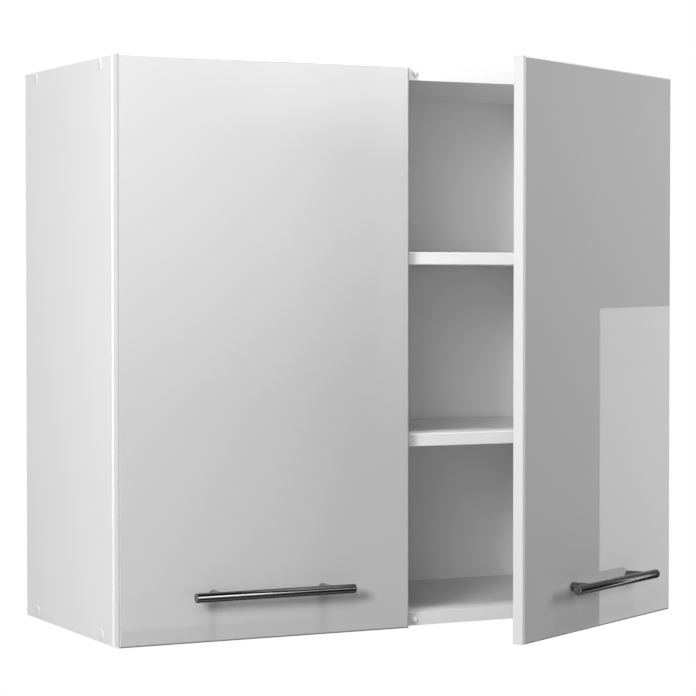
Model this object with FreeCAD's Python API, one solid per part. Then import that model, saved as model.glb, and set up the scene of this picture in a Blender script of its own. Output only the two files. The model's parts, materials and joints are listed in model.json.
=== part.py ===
import FreeCAD, Part
import math
import os

# Wall cabinet with two overlay doors: carcass, back, shelves, hinges, handles and wall hangers.
# Lengths are in millimetres. The origin is the middle of the carcass's lower rear edge, on the wall.
# +X is to the right as seen from the front, the front faces -Y and +Z is up.
# Everything on the right-hand side is drawn with its door closed. The left-hand side is its mirror
# image, and the right door is then turned open about its hinge axis, as it stands at rest.

# Carcass boards
carcass_width = 800.0
carcass_height = 720.0
carcass_depth = 320.0
board_thickness = 16.0
board_edge_radius = 0.8

# Back panel, held in a groove all round
back_recess = 14.0
back_thickness = 3.0
groove_depth = 8.0
groove_play = 0.1
back_edge_play = 1.0

# Shelves and the supports that they lie on. The lower shelf's height is that of its underside, and the
# upper one's drop reaches from the top of the carcass to its underside.
shelf_thickness = 16.0
lower_shelf_height = 232.0
upper_shelf_drop = 253.0
shelf_end_play = 0.5
shelf_back_gap = 2.0
support_radius = 2.5
support_socket_depth = 9.0
support_collar_radius = 4.0
support_collar_thickness = 1.0
support_lug_length = 8.0
support_lug_width = 7.0
support_lug_height = 4.5
support_front_distance = 50.0
support_back_distance = 60.0

# Screws, caps and dowels of the four corner joints
screw_edge_distance = 10.0
screw_front_distance = 39.0
screw_back_distance = 44.0
screw_length = 50.0
screw_collar_radius = 3.5
screw_thread_radius = 2.5
screw_head_radius = 5.0
screw_head_thickness = 2.5
screw_socket_radius = 2.2
screw_socket_depth = 2.0
cap_radius = 7.0
cap_thickness = 1.3
cap_edge_radius = 0.9
cap_stem_radius = 1.8
cap_stem_length = 1.8
dowel_radius = 4.0
dowel_length = 30.0
dowel_in_side = 10.0
dowel_inset = 65.0
socket_end_play = 0.5
fixing_play = 0.05

# Doors
door_thickness = 16.0
door_gap = 2.5
door_side_reveal = 1.5
door_meeting_gap = 3.0
door_front_radius = 2.6
door_back_radius = 0.8
right_door_opening_deg = 29.7

# Hinge axis, measured from the door's hinge edge and from its back face
axis_edge_distance = 6.6
axis_depth = 10.0
hinge_end_distance = 100.0

# Hinge cup, sunk in the door's back face
cup_edge_distance = 3.0
cup_bore_radius = 17.5
cup_bore_depth = 13.5
cup_play = 0.1
cup_wall = 0.8
cup_flange_overlap = 0.5
cup_flange_thickness = 1.2
cup_screw_spacing = 45.0
cup_screw_offset = 9.5
cup_ear_radius = 6.0
lug_half_width = 2.3
lug_thickness = 2.5
lug_play = 0.25
pin_radius = 1.2
pin_running_play = 0.05

# Hinge arm, from the pin in the cup to the plate on the side panel
arm_thickness = 2.0
arm_bend_radius = 3.0
arm_neck_width = 6.5
arm_knuckle_radius = 2.1
arm_body_width = 14.0
arm_flange_thickness = 2.0
arm_body_setback = 5.0
arm_length = 58.0

# Hinge plate and its screws
plate_base_thickness = 2.0
plate_line_distance = 37.0
plate_screw_spacing = 32.0
plate_wing_radius = 8.0
plate_boss_play = 0.2
plate_boss_front = 24.0
plate_boss_back = 20.0
small_screw_radius = 2.0
small_screw_head_radius = 3.6
small_screw_head_thickness = 1.6
small_screw_length = 12.0
arm_screw_radius = 2.4
arm_screw_head_radius = 4.2
arm_screw_head_thickness = 2.2
arm_screw_spacing = 17.0
slot_width = 1.0
slot_depth = 0.8

# Bar handles
handle_height = 59.0
handle_length = 217.0
handle_spacing = 150.0
handle_radius = 6.0
handle_standoff = 25.0
handle_end_chamfer = 0.5
post_radius = 6.0
post_bore_depth = 11.0
handle_screw_radius = 2.0
handle_screw_reach = 9.0
handle_screw_head_radius = 4.5
handle_screw_head_thickness = 2.4
handle_screw_play = 0.25

# Door bumpers on the front edges of the top and bottom panels
bumper_radius = 4.0
bumper_thickness = 2.1
bumper_edge_radius = 1.2
bumper_side_distance = 17.0
bumper_edge_distance = 7.0

# Wall hangers in the upper rear corners
hanger_width = 20.0
hanger_depth = 42.0
hanger_height = 64.0
hanger_top_gap = 6.0
hanger_edge_radius = 2.0
peg_radius = 5.0
peg_length = 11.0
peg_spacing = 32.0
hook_width = 12.0
hook_thickness = 3.0
hook_inner_length = 24.0
hook_wall_gap = 2.5
hook_lip_height = 15.0
hook_top_distance = 14.0
hook_play = 0.5
window_margin = 2.0
adjuster_radius = 3.5
adjuster_length = 14.0
adjuster_spacing = 24.0
adjuster_proud = 1.0

cut_overrun = 1.0
edge_tolerance = 0.01

# Planes and lines that follow from the sizes above
half_width = carcass_width / 2.0
inner_half_width = half_width - board_thickness
front_plane = -carcass_depth
back_panel_front = -back_recess - back_thickness
door_back = front_plane - door_gap
door_front = door_back - door_thickness
door_hinge_edge = half_width - door_side_reveal
door_free_edge = door_meeting_gap / 2.0
door_centre = (door_hinge_edge + door_free_edge) / 2.0
hinge_x = door_hinge_edge - axis_edge_distance
hinge_y = door_back - axis_depth
hinge_heights = [hinge_end_distance, carcass_height - hinge_end_distance]
cup_x = door_hinge_edge - cup_edge_distance - cup_bore_radius
cup_outer_radius = cup_bore_radius - cup_play
cup_inner_radius = cup_outer_radius - cup_wall
arm_web_outer = cup_x - arm_thickness / 2.0
arm_web_inner = cup_x + arm_thickness / 2.0
arm_back_end = front_plane + arm_body_setback + arm_length
plate_line = front_plane + plate_line_distance
cup_screw_x = cup_x - cup_screw_offset
shelf_heights = {"lower": lower_shelf_height, "upper": carcass_height - upper_shelf_drop}
screw_lines = [front_plane + screw_front_distance, -screw_back_distance]
dowel_lines = [screw_lines[0] + dowel_inset, screw_lines[1] - dowel_inset]
screw_heights = [screw_edge_distance, carcass_height - screw_edge_distance]
panel_middle_heights = [board_thickness / 2.0, carcass_height - board_thickness / 2.0]
support_lines = [front_plane + support_front_distance, -support_back_distance]
hanger_top = carcass_height - board_thickness - hanger_top_gap
hanger_front = back_panel_front - hanger_depth
hanger_middle_y = back_panel_front - hanger_depth / 2.0
hanger_middle_x = inner_half_width - hanger_width / 2.0
hook_top = hanger_top - hook_top_distance
handle_bar_y = door_front - handle_standoff
post_places = [door_centre - handle_spacing / 2.0, door_centre + handle_spacing / 2.0]

right = FreeCAD.Vector(1, 0, 0)
rearward = FreeCAD.Vector(0, 1, 0)
forward = FreeCAD.Vector(0, -1, 0)
inward = FreeCAD.Vector(-1, 0, 0)
up = FreeCAD.Vector(0, 0, 1)
origin = FreeCAD.Vector(0, 0, 0)


def block(x_range, y_range, z_range):
    """A box between two limits on each axis."""
    corner = FreeCAD.Vector(x_range[0], y_range[0], z_range[0])
    return Part.makeBox(x_range[1] - x_range[0], y_range[1] - y_range[0], z_range[1] - z_range[0], corner)


def rod(radius, length, start, direction):
    """A cylinder that starts at a point and runs along a direction."""
    return Part.makeCylinder(radius, length, FreeCAD.Vector(*start), direction)


def around(middle, half):
    """The range that reaches the same distance each way from a middle."""
    return (middle - half, middle + half)


def rounded(shape, radius, wanted):
    """The shape with a fillet on each edge that the test picks."""
    edges = [edge for edge in shape.Edges if wanted(edge)]
    return shape.makeFillet(radius, edges)


def lies_on_y(edge, plane):
    """Whether the whole edge lies in one plane across the depth."""
    box = edge.BoundBox
    return abs(box.YMin - plane) < edge_tolerance and abs(box.YMax - plane) < edge_tolerance


def lies_on_x(edge, plane):
    """Whether the whole edge lies in one plane across the width."""
    box = edge.BoundBox
    return abs(box.XMin - plane) < edge_tolerance and abs(box.XMax - plane) < edge_tolerance


def mirrored(shapes):
    """The same solids on the left-hand side."""
    return [shape.mirror(origin, right) for shape in shapes]


def opened(shapes):
    """The right door's solids, turned open about the hinge axis."""
    turned = [shape.copy() for shape in shapes]
    for shape in turned:
        shape.rotate(FreeCAD.Vector(hinge_x, hinge_y, 0), up, right_door_opening_deg)
    return turned


def save(name, shapes):
    """Write the solids of one node to its own file."""
    body = shapes[0] if len(shapes) == 1 else Part.makeCompound(shapes)
    body.exportStep("parts/" + name + ".step")


def back_groove():
    """The space that the back panel's groove takes, as one plate through every board."""
    reach = groove_depth
    return block((-inner_half_width - reach, inner_half_width + reach),
                 (back_panel_front - groove_play, -back_recess + groove_play),
                 (board_thickness - reach, carcass_height - board_thickness + reach))


def side_panel():
    """The right side panel, with its groove, joint holes, hinge holes and support holes."""
    panel = block((inner_half_width, half_width), (front_plane, 0), (0, carcass_height))
    panel = rounded(panel, board_edge_radius, lambda edge: lies_on_x(edge, half_width))
    panel = panel.cut(back_groove())
    holes = []
    for y in screw_lines:
        for z in screw_heights:
            start = (inner_half_width - cut_overrun, y, z)
            through = board_thickness + 2 * cut_overrun
            holes.append(rod(screw_collar_radius + fixing_play, through, start, right))
            start = (half_width - screw_head_thickness, y, z)
            holes.append(rod(screw_head_radius + fixing_play, screw_head_thickness + cut_overrun, start, right))
    for y in dowel_lines:
        for z in panel_middle_heights:
            start = (inner_half_width - cut_overrun, y, z)
            depth = dowel_in_side + socket_end_play + cut_overrun
            holes.append(rod(dowel_radius + fixing_play, depth, start, right))
    for height in shelf_heights.values():
        for y in support_lines:
            start = (inner_half_width - cut_overrun, y, height - support_radius)
            depth = support_socket_depth + socket_end_play + cut_overrun
            holes.append(rod(support_radius + fixing_play, depth, start, right))
    for z in hinge_heights:
        for offset in (-plate_screw_spacing / 2.0, plate_screw_spacing / 2.0):
            start = (inner_half_width - cut_overrun, plate_line, z + offset)
            depth = small_screw_length + cut_overrun
            holes.append(rod(small_screw_radius + fixing_play, depth, start, right))
    for z in hanger_peg_heights():
        start = (inner_half_width - cut_overrun, hanger_middle_y, z)
        holes.append(rod(peg_radius + fixing_play, peg_length + socket_end_play + cut_overrun, start, right))
    return panel.cut(Part.makeCompound(holes))


def flat_panel(z_range, joint_height, dowel_height):
    """A top or bottom panel between the sides, with its groove and the holes in its ends."""
    panel = block((-inner_half_width, inner_half_width), (front_plane, 0), z_range)
    panel = panel.cut(back_groove())
    holes = []
    for y in screw_lines:
        depth = screw_length - board_thickness
        start = (inner_half_width - depth, y, joint_height)
        holes.append(rod(screw_thread_radius + fixing_play, depth + cut_overrun, start, right))
    for y in dowel_lines:
        depth = dowel_length - dowel_in_side + socket_end_play
        start = (inner_half_width - depth, y, dowel_height)
        holes.append(rod(dowel_radius + fixing_play, depth + cut_overrun, start, right))
    return panel.cut(Part.makeCompound(holes + mirrored(holes)))


def back_panel():
    """The thin back panel, with a window behind each hanger for its hook."""
    reach = groove_depth - back_edge_play
    panel = block((-inner_half_width - reach, inner_half_width + reach),
                  (back_panel_front, -back_recess),
                  (board_thickness - reach, carcass_height - board_thickness + reach))
    window = block(around(hanger_middle_x, hook_width / 2.0 + window_margin),
                   (back_panel_front - cut_overrun, -back_recess + cut_overrun),
                   (hook_top - hook_lip_height - window_margin, hook_top + window_margin))
    return panel.cut(Part.makeCompound([window] + mirrored([window])))


def shelf(height):
    """One shelf, level with the carcass's front edge."""
    half = inner_half_width - shelf_end_play
    board = block((-half, half), (front_plane, back_panel_front - shelf_back_gap),
                  (height, height + shelf_thickness))
    return rounded(board, board_edge_radius, lambda edge: lies_on_y(edge, front_plane))


def shelf_supports(height):
    """The two supports at the right end of a shelf: a peg, a collar and a flat-topped lug."""
    supports = []
    for y in support_lines:
        middle = height - support_radius
        peg = rod(support_radius, support_socket_depth, (inner_half_width, y, middle), right)
        collar = rod(support_collar_radius, support_collar_thickness, (inner_half_width, y, middle), inward)
        lug = block((inner_half_width - support_lug_length, inner_half_width),
                    around(y, support_lug_width / 2.0), (height - support_lug_height, height))
        top = block((inner_half_width - support_lug_length, inner_half_width + cut_overrun),
                    around(y, support_lug_width), (height, height + support_lug_width))
        supports.append(peg.fuse([collar, lug]).cut(top).removeSplitter())
    return supports


def carcass_screws():
    """The four screws at the right-hand side, one at each end of the top and bottom panels."""
    screws = []
    for y in screw_lines:
        for z in screw_heights:
            head_back = half_width - screw_head_thickness
            head = rod(screw_head_radius, screw_head_thickness, (head_back, y, z), right)
            collar = rod(screw_collar_radius, head_back - inner_half_width, (inner_half_width, y, z), right)
            start = half_width - screw_length
            thread = rod(screw_thread_radius, inner_half_width - start, (start, y, z), right)
            socket = rod(screw_socket_radius, screw_socket_depth + cut_overrun,
                         (half_width - screw_socket_depth, y, z), right)
            screws.append(head.fuse([collar, thread]).cut(socket))
    return screws


def screw_caps():
    """The four round cover caps on the right side panel, each with a stem in its screw's socket."""
    caps = []
    for y in screw_lines:
        for z in screw_heights:
            disc = rod(cap_radius, cap_thickness, (half_width, y, z), right)
            disc = rounded(disc, cap_edge_radius, lambda edge: lies_on_x(edge, half_width + cap_thickness))
            stem = rod(cap_stem_radius, cap_stem_length, (half_width, y, z), inward)
            caps.append(disc.fuse(stem).removeSplitter())
    return caps


def dowels():
    """The four wooden dowels at the right-hand side."""
    start = inner_half_width + dowel_in_side - dowel_length
    return [rod(dowel_radius, dowel_length, (start, y, z), right)
            for y in dowel_lines for z in panel_middle_heights]


def door_board():
    """The right door, closed, with its cup bores, screw holes and handle holes."""
    board = block((door_free_edge, door_hinge_edge), (door_front, door_back), (0, carcass_height))
    board = rounded(board, door_front_radius, lambda edge: lies_on_y(edge, door_front))
    board = rounded(board, door_back_radius, lambda edge: lies_on_y(edge, door_back))
    holes = []
    for z in hinge_heights:
        start = (cup_x, door_back - cup_bore_depth, z)
        holes.append(rod(cup_bore_radius, cup_bore_depth + cut_overrun, start, rearward))
        for offset in (-cup_screw_spacing / 2.0, cup_screw_spacing / 2.0):
            start = (cup_screw_x, door_back - small_screw_length, z + offset)
            depth = small_screw_length + cut_overrun
            holes.append(rod(small_screw_radius + fixing_play, depth, start, rearward))
    for x in post_places:
        start = (x, door_front - cut_overrun, handle_height)
        through = door_thickness + 2 * cut_overrun
        holes.append(rod(handle_screw_radius + handle_screw_play, through, start, rearward))
    return board.cut(Part.makeCompound(holes))


def hinge_cups():
    """The cup of each hinge: a round pan with a flange, two screw ears and two lugs for the pin."""
    cups = []
    for z in hinge_heights:
        depth = cup_bore_depth - cup_play
        pan = rod(cup_outer_radius, depth, (cup_x, door_back - depth, z), rearward)
        flange = rod(cup_bore_radius + cup_flange_overlap, cup_flange_thickness, (cup_x, door_back, z), rearward)
        ears = [block(around(cup_screw_x, cup_ear_radius), (door_back, door_back + cup_flange_thickness),
                      around(z, cup_screw_spacing / 2.0))]
        for offset in (-cup_screw_spacing / 2.0, cup_screw_spacing / 2.0):
            start = (cup_screw_x, door_back, z + offset)
            ears.append(rod(cup_ear_radius, cup_flange_thickness, start, rearward))
        hollow = rod(cup_inner_radius, depth - cup_wall + cup_flange_thickness + cut_overrun,
                     (cup_x, door_back - depth + cup_wall, z), rearward)
        cup = pan.fuse([flange] + ears).cut(hollow)
        inside = rod(cup_outer_radius - cup_wall / 2.0, depth, (cup_x, door_back - depth, z), rearward)
        lug_start = arm_neck_width / 2.0 + lug_play
        for side in (-1, 1):
            z_ends = sorted((z + side * lug_start, z + side * (lug_start + lug_thickness)))
            lug = block((hinge_x - lug_half_width, door_hinge_edge),
                        (door_back - depth, hinge_y + lug_half_width), z_ends)
            cup = cup.fuse(lug.common(inside))
        pin_space = lug_start + lug_thickness
        cup = cup.cut(rod(pin_radius, 2 * pin_space, (hinge_x, hinge_y, z - pin_space), up))
        for offset in (-cup_screw_spacing / 2.0, cup_screw_spacing / 2.0):
            start = (cup_screw_x, door_back - cut_overrun, z + offset)
            cup = cup.cut(rod(small_screw_radius + fixing_play, cup_flange_thickness + 2 * cut_overrun,
                              start, rearward))
        cups.append(cup.removeSplitter())
    return cups


def hinge_pins():
    """The pin of each hinge, fixed in the cup's lugs."""
    half = arm_neck_width / 2.0 + lug_play + lug_thickness
    return [rod(pin_radius, 2 * half, (hinge_x, hinge_y, z - half), up) for z in hinge_heights]


def slotted_screw(place, direction, shank_radius, shank_length, head_radius, head_thickness):
    """A screw whose head sits at a place and whose shank runs along a direction."""
    back = direction.negative()
    head = rod(head_radius, head_thickness, place, back)
    shank = rod(shank_radius, shank_length, place, direction)
    top = FreeCAD.Vector(*place) + back * (head_thickness - slot_depth)
    across = Part.makeBox(2 * head_radius + 2 * cut_overrun, slot_width, slot_depth + cut_overrun)
    across.translate(FreeCAD.Vector(-head_radius - cut_overrun, -slot_width / 2.0, 0))
    across.Placement = FreeCAD.Placement(top, FreeCAD.Rotation(up, back)).multiply(across.Placement)
    return head.fuse(shank).cut(across)


def cup_screws():
    """Two screws through each cup's ears into the door."""
    y = door_back + cup_flange_thickness
    reach = small_screw_length
    return [slotted_screw((cup_screw_x, y, z + offset), forward, small_screw_radius, reach,
                          small_screw_head_radius, small_screw_head_thickness)
            for z in hinge_heights for offset in (-cup_screw_spacing / 2.0, cup_screw_spacing / 2.0)]


def hinge_arms():
    """The arm of each hinge: a knuckle on the pin, a bent neck and a channel over the plate's boss."""
    arms = []
    body_start = front_plane + arm_body_setback
    for z in hinge_heights:
        bend_x = cup_x + arm_bend_radius
        bend_y = hinge_y + arm_bend_radius
        low = z - arm_neck_width / 2.0
        knuckle = rod(arm_knuckle_radius, arm_neck_width, (hinge_x, hinge_y, low), up)
        tongue = block((bend_x, hinge_x), around(hinge_y, arm_thickness / 2.0), around(z, arm_neck_width / 2.0))
        bend = rod(arm_bend_radius + arm_thickness / 2.0, arm_neck_width, (bend_x, bend_y, low), up)
        bend = bend.cut(rod(arm_bend_radius - arm_thickness / 2.0, arm_neck_width, (bend_x, bend_y, low), up))
        reach = arm_bend_radius + arm_thickness
        bend = bend.common(block((bend_x - reach, bend_x), (bend_y - reach, bend_y),
                                 around(z, arm_neck_width / 2.0)))
        neck = block((arm_web_outer, arm_web_inner), (bend_y, body_start), around(z, arm_neck_width / 2.0))
        web = block((arm_web_outer, arm_web_inner), (body_start, arm_back_end), around(z, arm_body_width / 2.0))
        rim = inner_half_width - plate_base_thickness - plate_boss_play
        flanges = []
        for side in (-1, 1):
            inside = arm_body_width / 2.0 - arm_flange_thickness
            z_ends = sorted((z + side * inside, z + side * arm_body_width / 2.0))
            flanges.append(block((arm_web_inner, rim), (body_start, arm_back_end), z_ends))
        arm = knuckle.fuse([tongue, bend, neck, web] + flanges)
        arm = arm.cut(rod(pin_radius + pin_running_play, arm_neck_width, (hinge_x, hinge_y, low), up))
        for y in arm_screw_lines():
            start = (arm_web_outer - cut_overrun, y, z)
            through = arm_thickness + 2 * cut_overrun
            arm = arm.cut(rod(arm_screw_radius + fixing_play, through, start, right))
        arms.append(arm.removeSplitter())
    return arms


def arm_screw_lines():
    """The depths of the two screws that hold an arm to its plate, either side of the plate's line."""
    middle = plate_line - (plate_boss_front - plate_boss_back) / 2.0
    return [middle - arm_screw_spacing / 2.0, middle + arm_screw_spacing / 2.0]


def hinge_plates():
    """The plate of each hinge: two round wings joined by a base, and a boss that carries the arm."""
    plates = []
    base_x = (inner_half_width - plate_base_thickness, inner_half_width)
    for z in hinge_heights:
        base = block(base_x, around(plate_line, plate_wing_radius), around(z, plate_screw_spacing / 2.0))
        wings = [rod(plate_wing_radius, plate_base_thickness, (base_x[0], plate_line, z + offset), right)
                 for offset in (-plate_screw_spacing / 2.0, plate_screw_spacing / 2.0)]
        boss_half = arm_body_width / 2.0 - arm_flange_thickness - plate_boss_play
        boss_y = (plate_line - plate_boss_front, plate_line + plate_boss_back)
        boss = block((arm_web_inner, inner_half_width), boss_y, around(z, boss_half))
        plate = base.fuse(wings + [boss])
        for offset in (-plate_screw_spacing / 2.0, plate_screw_spacing / 2.0):
            start = (base_x[0] - cut_overrun, plate_line, z + offset)
            through = plate_base_thickness + 2 * cut_overrun
            plate = plate.cut(rod(small_screw_radius + fixing_play, through, start, right))
        for y in arm_screw_lines():
            start = (arm_web_inner - cut_overrun, y, z)
            through = inner_half_width - arm_web_inner + 2 * cut_overrun
            plate = plate.cut(rod(arm_screw_radius + fixing_play, through, start, right))
        plates.append(plate.removeSplitter())
    return plates


def plate_screws():
    """Two screws through each plate's wings into the side panel."""
    x = inner_half_width - plate_base_thickness
    return [slotted_screw((x, plate_line, z + offset), right, small_screw_radius, small_screw_length,
                          small_screw_head_radius, small_screw_head_thickness)
            for z in hinge_heights for offset in (-plate_screw_spacing / 2.0, plate_screw_spacing / 2.0)]


def arm_screws():
    """Two screws through each arm into the plate's boss."""
    reach = inner_half_width - arm_web_outer
    return [slotted_screw((arm_web_outer, y, z), right, arm_screw_radius, reach,
                          arm_screw_head_radius, arm_screw_head_thickness)
            for z in hinge_heights for y in arm_screw_lines()]


def handle_bar():
    """The handle's round bar, level along the door."""
    bar = rod(handle_radius, handle_length, (door_centre - handle_length / 2.0, handle_bar_y, handle_height), right)
    ends = [edge for edge in bar.Edges if edge.BoundBox.XLength < handle_radius]
    return bar.makeChamfer(handle_end_chamfer, ends)


def handle_posts():
    """The two posts between the door and the bar, each hollowed to sit on the bar."""
    bar = rod(handle_radius, handle_length, (door_centre - handle_length / 2.0, handle_bar_y, handle_height), right)
    posts = []
    for x in post_places:
        post = rod(post_radius, handle_standoff, (x, door_front, handle_height), forward).cut(bar)
        post = post.cut(rod(handle_screw_radius, post_bore_depth, (x, door_front, handle_height), forward))
        posts.append(post)
    return posts


def handle_screws():
    """The two screws from the door's back face into the posts."""
    return [slotted_screw((x, door_back, handle_height), forward, handle_screw_radius,
                          door_thickness + handle_screw_reach, handle_screw_head_radius,
                          handle_screw_head_thickness) for x in post_places]


def door_bumpers():
    """The two soft bumpers at the right door's free edge, one low and one high."""
    bumpers = []
    for z in (bumper_edge_distance, carcass_height - bumper_edge_distance):
        pad = rod(bumper_radius, bumper_thickness, (bumper_side_distance, front_plane, z), forward)
        pad = rounded(pad, bumper_edge_radius, lambda edge: lies_on_y(edge, front_plane - bumper_thickness))
        bumpers.append(pad)
    return bumpers


def hanger_peg_heights():
    """The heights of the two pegs that hold a hanger in the side panel."""
    middle = hanger_top - hanger_height / 2.0
    return [middle - peg_spacing / 2.0, middle + peg_spacing / 2.0]


def adjuster_heights():
    """The heights of the two adjusting screws on a hanger's front face."""
    middle = hanger_top - hanger_height / 2.0
    return [middle - adjuster_spacing / 2.0, middle + adjuster_spacing / 2.0]


def hanger_housing():
    """The right hanger's housing, with two pegs in the side panel and a slot for its hook."""
    body = block((inner_half_width - hanger_width, inner_half_width), (hanger_front, back_panel_front),
                 (hanger_top - hanger_height, hanger_top))
    body = rounded(body, hanger_edge_radius, lambda edge: lies_on_y(edge, hanger_front))
    for z in hanger_peg_heights():
        body = body.fuse(rod(peg_radius, peg_length, (inner_half_width, hanger_middle_y, z), right))
    slot = block(around(hanger_middle_x, hook_width / 2.0 + hook_play),
                 (back_panel_front - hook_inner_length - hook_play, back_panel_front + cut_overrun),
                 (hook_top - hook_thickness, hook_top + hook_play))
    body = body.cut(slot)
    for z in adjuster_heights():
        start = (hanger_middle_x, hanger_front - cut_overrun, z)
        body = body.cut(rod(adjuster_radius + fixing_play, adjuster_length + cut_overrun, start, rearward))
    return body.removeSplitter()


def hanger_hook():
    """The right hanger's steel hook: a tongue that lies in the housing and a lip that turns down."""
    wide = around(hanger_middle_x, hook_width / 2.0)
    rear = -hook_wall_gap
    tongue = block(wide, (back_panel_front - hook_inner_length, rear), (hook_top - hook_thickness, hook_top))
    lip = block(wide, (rear - hook_thickness, rear), (hook_top - hook_lip_height, hook_top))
    return tongue.fuse(lip).removeSplitter()


def hanger_adjusters():
    """The two adjusting screws in the right hanger's front face."""
    y = hanger_front
    return [slotted_screw((hanger_middle_x, y, z), rearward, adjuster_radius, adjuster_length,
                          adjuster_radius, adjuster_proud) for z in adjuster_heights()]


def build():
    """Write every node: the carcass first, then the hinges, hangers and doors."""
    top_range = (carcass_height - board_thickness, carcass_height)
    save("side_panel_right", [side_panel()])
    save("side_panel_left", mirrored([side_panel()]))
    save("bottom_panel", [flat_panel((0, board_thickness), screw_heights[0], panel_middle_heights[0])])
    save("top_panel", [flat_panel(top_range, screw_heights[1], panel_middle_heights[1])])
    save("back_panel", [back_panel()])
    for name, height in shelf_heights.items():
        save("shelf_" + name, [shelf(height)])
        supports = shelf_supports(height)
        save("shelf_supports_" + name, supports + mirrored(supports))
    save("carcass_dowels", dowels() + mirrored(dowels()))
    save("door_bumpers", door_bumpers() + mirrored(door_bumpers()))

    # Fixed pieces that each side has
    for name, shapes in {"carcass_screws": carcass_screws(), "screw_caps": screw_caps(),
                         "hinge_plates": hinge_plates(), "hinge_arms": hinge_arms(),
                         "plate_screws": plate_screws(), "arm_screws": arm_screws(),
                         "hanger_housing": [hanger_housing()], "hanger_hook": [hanger_hook()],
                         "hanger_adjusters": hanger_adjusters()}.items():
        save(name + "_right", shapes)
        save(name + "_left", mirrored(shapes))

    # Pieces that move with each door
    for name, shapes in {"door": [door_board()], "hinge_cups": hinge_cups(), "hinge_pins": hinge_pins(),
                         "cup_screws": cup_screws(), "handle_bar": [handle_bar()],
                         "handle_posts": handle_posts(), "handle_screws": handle_screws()}.items():
        save(name + "_right", opened(shapes))
        save(name + "_left", mirrored(shapes))


os.makedirs("parts", exist_ok=True)
build()
corner_reach = math.hypot(axis_edge_distance, axis_depth)
print("door corner clears the carcass by", round(axis_depth + door_gap - corner_reach, 3))
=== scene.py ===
import json
import math

import bmesh
import bpy
import numpy as np
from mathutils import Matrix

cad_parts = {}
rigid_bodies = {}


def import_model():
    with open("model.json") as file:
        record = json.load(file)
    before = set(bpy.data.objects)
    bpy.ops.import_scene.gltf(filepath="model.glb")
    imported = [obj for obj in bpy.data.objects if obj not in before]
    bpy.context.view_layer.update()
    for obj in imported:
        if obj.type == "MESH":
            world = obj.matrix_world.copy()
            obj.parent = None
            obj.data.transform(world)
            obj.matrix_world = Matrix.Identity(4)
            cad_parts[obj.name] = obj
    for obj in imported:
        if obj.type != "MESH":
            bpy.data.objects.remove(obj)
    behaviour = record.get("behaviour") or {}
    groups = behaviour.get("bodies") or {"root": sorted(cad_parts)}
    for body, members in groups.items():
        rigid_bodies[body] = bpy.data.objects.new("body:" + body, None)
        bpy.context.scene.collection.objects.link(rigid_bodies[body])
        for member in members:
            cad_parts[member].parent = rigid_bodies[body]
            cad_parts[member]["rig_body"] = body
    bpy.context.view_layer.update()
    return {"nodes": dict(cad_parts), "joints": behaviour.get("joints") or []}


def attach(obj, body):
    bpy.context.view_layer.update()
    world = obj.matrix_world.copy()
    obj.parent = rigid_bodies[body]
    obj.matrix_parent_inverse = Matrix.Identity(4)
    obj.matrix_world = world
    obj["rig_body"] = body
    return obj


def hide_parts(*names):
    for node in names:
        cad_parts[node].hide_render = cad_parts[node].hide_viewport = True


# White kitchen wall cabinet: gloss doors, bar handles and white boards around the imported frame.
# Lengths are in metres. +X is to the right, the doors face -Y and +Z is up.
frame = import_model()
nodes = frame["nodes"]
mm = 0.001
print("frame loaded:", len(nodes), "nodes")

# The right door stands open at rest, so its pieces are worked out closed and then swung open
joints = {joint["name"]: joint for joint in frame["joints"]}
rightPin = np.array(joints["right_door_swing"]["pos_m"])
restOpening = math.radians(-joints["right_door_swing"]["range_deg"][0])


# Points swung about the right door's pins: x and y turn by the angle and z stays.
def swung(points, angle):
    cosine, sine = math.cos(angle), math.sin(angle)
    across, deep = points[..., 0] - rightPin[0], points[..., 1] - rightPin[1]
    x = rightPin[0] + cosine * across - sine * deep
    y = rightPin[1] + sine * across + cosine * deep
    return np.stack([x, y, points[..., 2]], axis=-1)


def bodyOf(node):
    return nodes[node]["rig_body"]


# The points and triangles of a frame node, with its door closed.
def closedMesh(node):
    mesh = nodes[node].data
    points = np.empty(len(mesh.vertices) * 3)
    mesh.vertices.foreach_get("co", points)
    points = points.reshape(-1, 3)
    if bodyOf(node) == "right_door":
        points = swung(points, -restOpening)
    mesh.calc_loop_triangles()
    corners = np.empty(len(mesh.loop_triangles) * 3, dtype=np.int64)
    mesh.loop_triangles.foreach_get("vertices", corners)
    return points, corners.reshape(-1, 3)


# The box of each separate solid of a node. Points at one place count as one, and every triangle
# passes its smallest label on to its corners until no label changes.
def solidBoxes(node):
    points, corners = closedMesh(node)
    same = np.unique(np.round(points, 6), axis=0, return_inverse=True)[1].ravel()
    corners = same[corners]
    label = np.arange(same.max() + 1)
    changed = True
    while changed:
        fresh = label.copy()
        np.minimum.at(fresh, corners.ravel(), np.repeat(label[corners].min(axis=1), 3))
        changed = bool((fresh != label).any())
        label = fresh
    owner = label[same]
    solids = [points[owner == one] for one in np.unique(owner)]
    return [(solid.min(axis=0), solid.max(axis=0)) for solid in solids]


def nodeBox(node):
    points = closedMesh(node)[0]
    return points.min(axis=0), points.max(axis=0)


# A grid of points as a skin: rows follow the outline from pole to pole and columns go round.
def skin(rows):
    count, sides = rows.shape[:2]
    index = np.arange(count * sides).reshape(count, sides)
    beside = np.roll(index, -1, axis=1)
    quads = np.stack([index[:-1], beside[:-1], beside[1:], index[1:]], axis=-1).reshape(-1, 4)
    return rows.reshape(-1, 3), quads


# An outline of (along, radius) pairs carried round an axis: x and y are the radius times the
# cosine and sine of the angle, and z is the distance along.
def turnedRows(outline, sides):
    outline = np.asarray(outline, dtype=float)
    angle = np.linspace(0, 2 * math.pi, sides, endpoint=False)
    x = outline[:, 1, None] * np.cos(angle)
    y = outline[:, 1, None] * np.sin(angle)
    z = np.repeat(outline[:, :1], sides, axis=1)
    return np.stack([x, y, z], axis=-1)


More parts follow.
